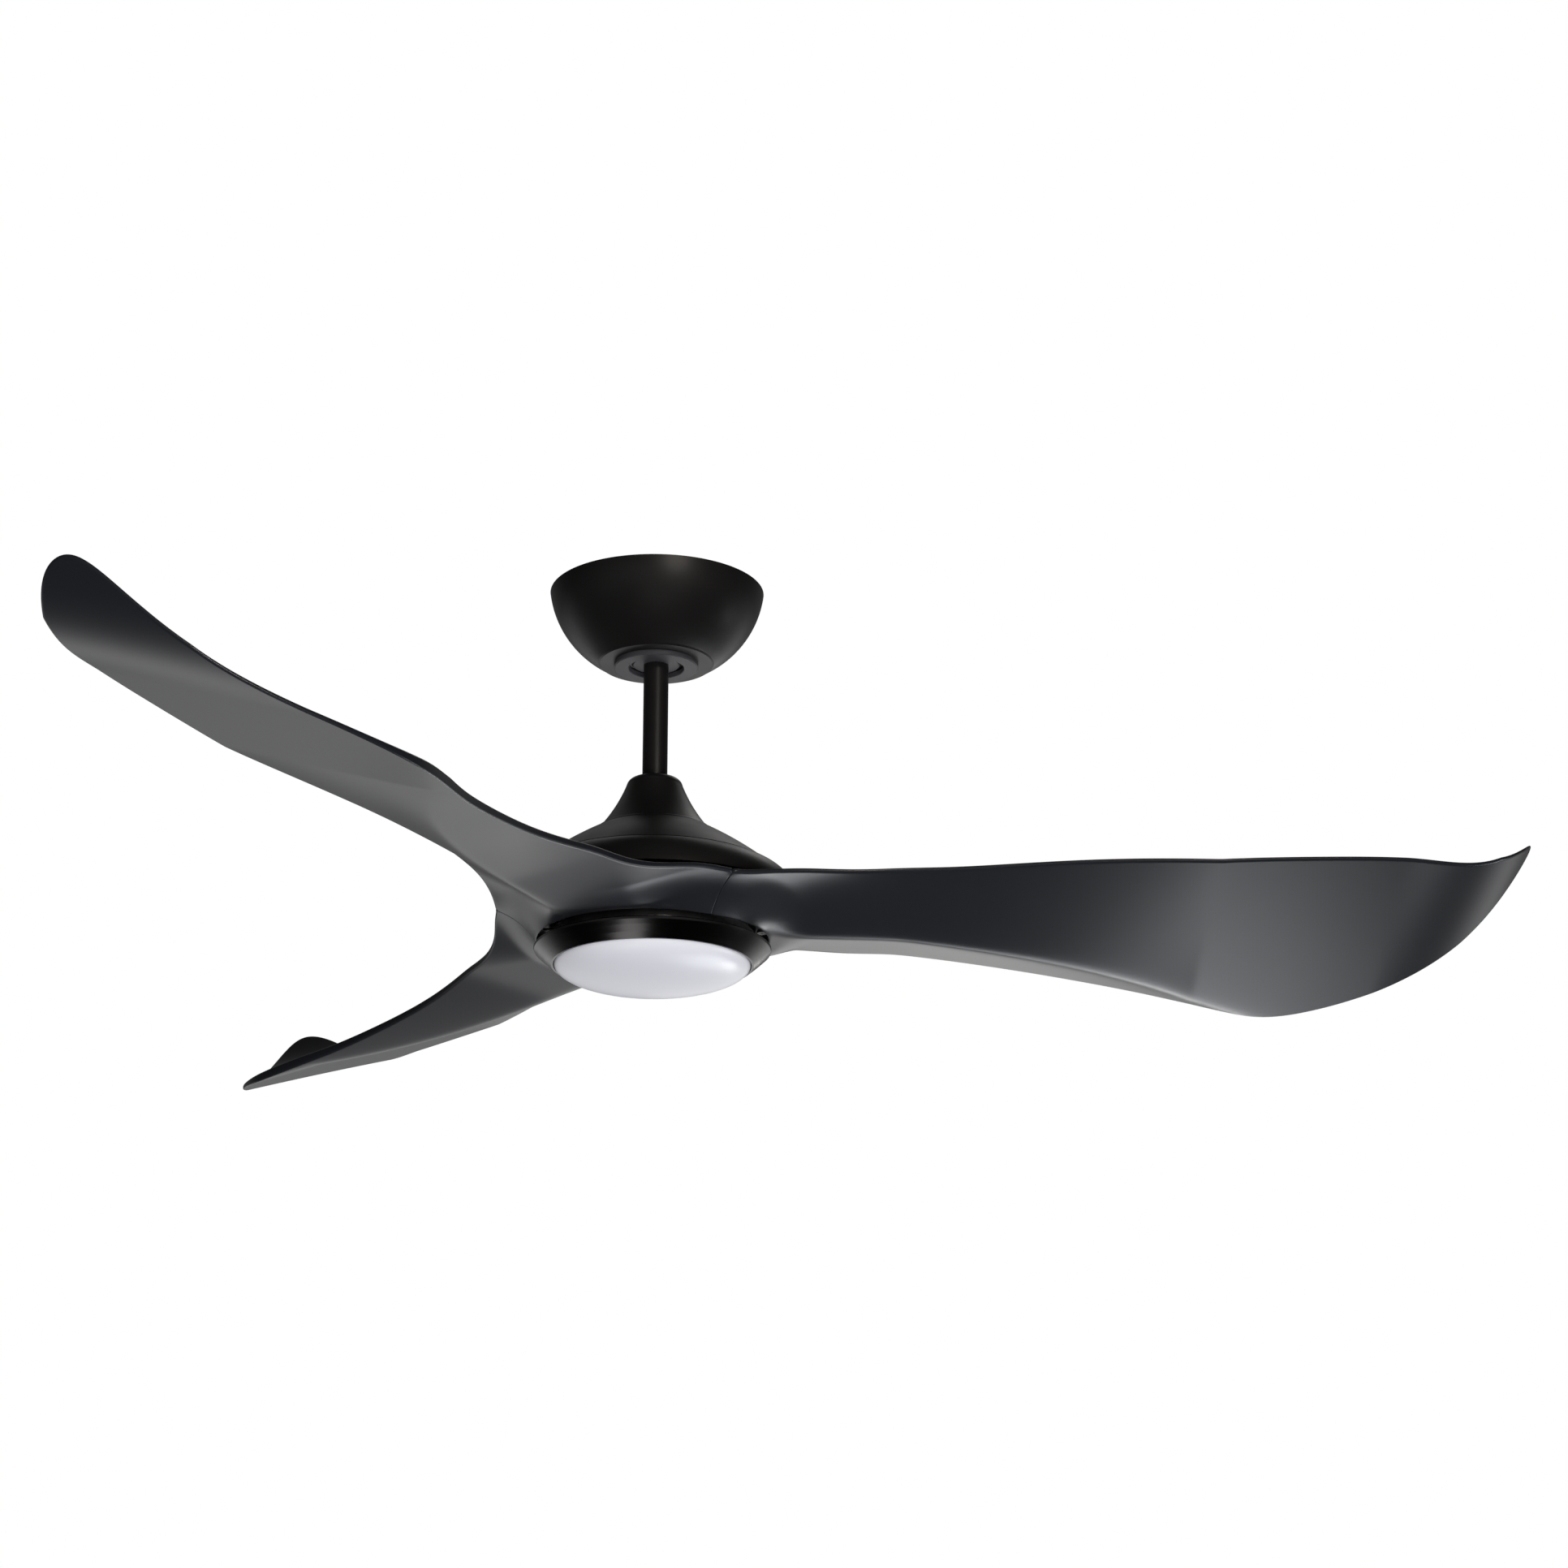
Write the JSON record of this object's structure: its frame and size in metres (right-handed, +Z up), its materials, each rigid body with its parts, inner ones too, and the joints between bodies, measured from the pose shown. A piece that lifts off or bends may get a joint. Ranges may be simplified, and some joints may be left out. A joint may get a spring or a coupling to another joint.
{
  "type": "ceiling fan with light",
  "caption": "Ceiling fan with moulded swept blades, bowl canopy on a short downrod, hub motor and a round opal light under the hub.",
  "frame": {"origin": "on the fan's axis in the plane of the ceiling, at the centre of the bracket's two slotted holes", "axes": "+Z up along the downrod's axis, towards the ceiling; +X along blade 1"},
  "size_m": [1.1803, 1.332, 0.3634],
  "materials": {
    "black_paint": "satin black powder coat",
    "blade_plastic": "satin charcoal moulded plastic",
    "bezel_metal": "satin black nickel",
    "lens_opal": "satin opal",
    "steel": "zinc plated",
    "cast_alloy": "as cast",
    "lamination": "stacked laminations",
    "copper": "enamelled winding",
    "magnet": "nickel plated",
    "bearing_steel": "ground",
    "nylon": "matte",
    "receiver_plastic": "matte",
    "wire": "pvc",
    "rubber_black": "matte",
    "board_white": "white solder mask",
    "led_yellow": "phosphor",
    "ground_green": "green"
  },
  "bodies": {
    "mount": {"hanger_bracket": "steel", "ground_screw": "ground_green", "receiver_box": "receiver_plastic", "canopy": "black_paint", "canopy_screws": "steel", "canopy_trim_ring": "nylon"},
    "hanging": {"hanger_ball": "nylon", "ball_pin": "steel", "downrod": "black_paint", "lead_wires": "wire", "rod_coupler": "steel", "coupler_pin": "steel", "coupler_clip": "steel", "coupler_set_screws": "steel", "coupling_cover": "black_paint", "rod_grommet": "rubber_black", "motor_cap": "black_paint", "cap_screws": "steel", "motor_shaft": "steel", "stator_hub": "cast_alloy", "stator_core": "lamination", "stator_coils": "copper", "upper_bearing_inner": "bearing_steel", "lower_bearing_inner": "bearing_steel", "light_pan": "steel", "light_nut": "steel", "led_driver": "receiver_plastic", "board_posts": "steel", "led_board": "board_white", "led_chips": "led_yellow", "bezel_ring": "bezel_metal", "bezel_screws": "steel"},
    "rotor": {"rotor_housing": "black_paint", "rotor_end_plate": "cast_alloy", "end_plate_screws": "steel", "rotor_magnets": "magnet", "upper_bearing_outer": "bearing_steel", "lower_bearing_outer": "bearing_steel", "bearing_balls": "bearing_steel", "blade_1": "blade_plastic", "blade_2": "blade_plastic", "blade_3": "blade_plastic", "blade_screws": "steel"},
    "lens": {"lens_diffuser": "lens_opal"}
  },
  "joints": [
    {"name": "hang_tilt", "type": "hinge", "parent": "mount", "child": "hanging", "pos_m": [0, 0, -0.049], "axis": [1, 0, 0], "range_deg": [-15, 15]},
    {"name": "fan_spin", "type": "hinge", "parent": "hanging", "child": "rotor", "pos_m": [0, 0, -0.285], "axis": [0, 0, 1], "continuous": true},
    {"name": "lens_twist", "type": "hinge", "parent": "hanging", "child": "lens", "pos_m": [0, 0, -0.335], "axis": [0, 0, 1], "range_deg": [0, 18]}
  ]
}
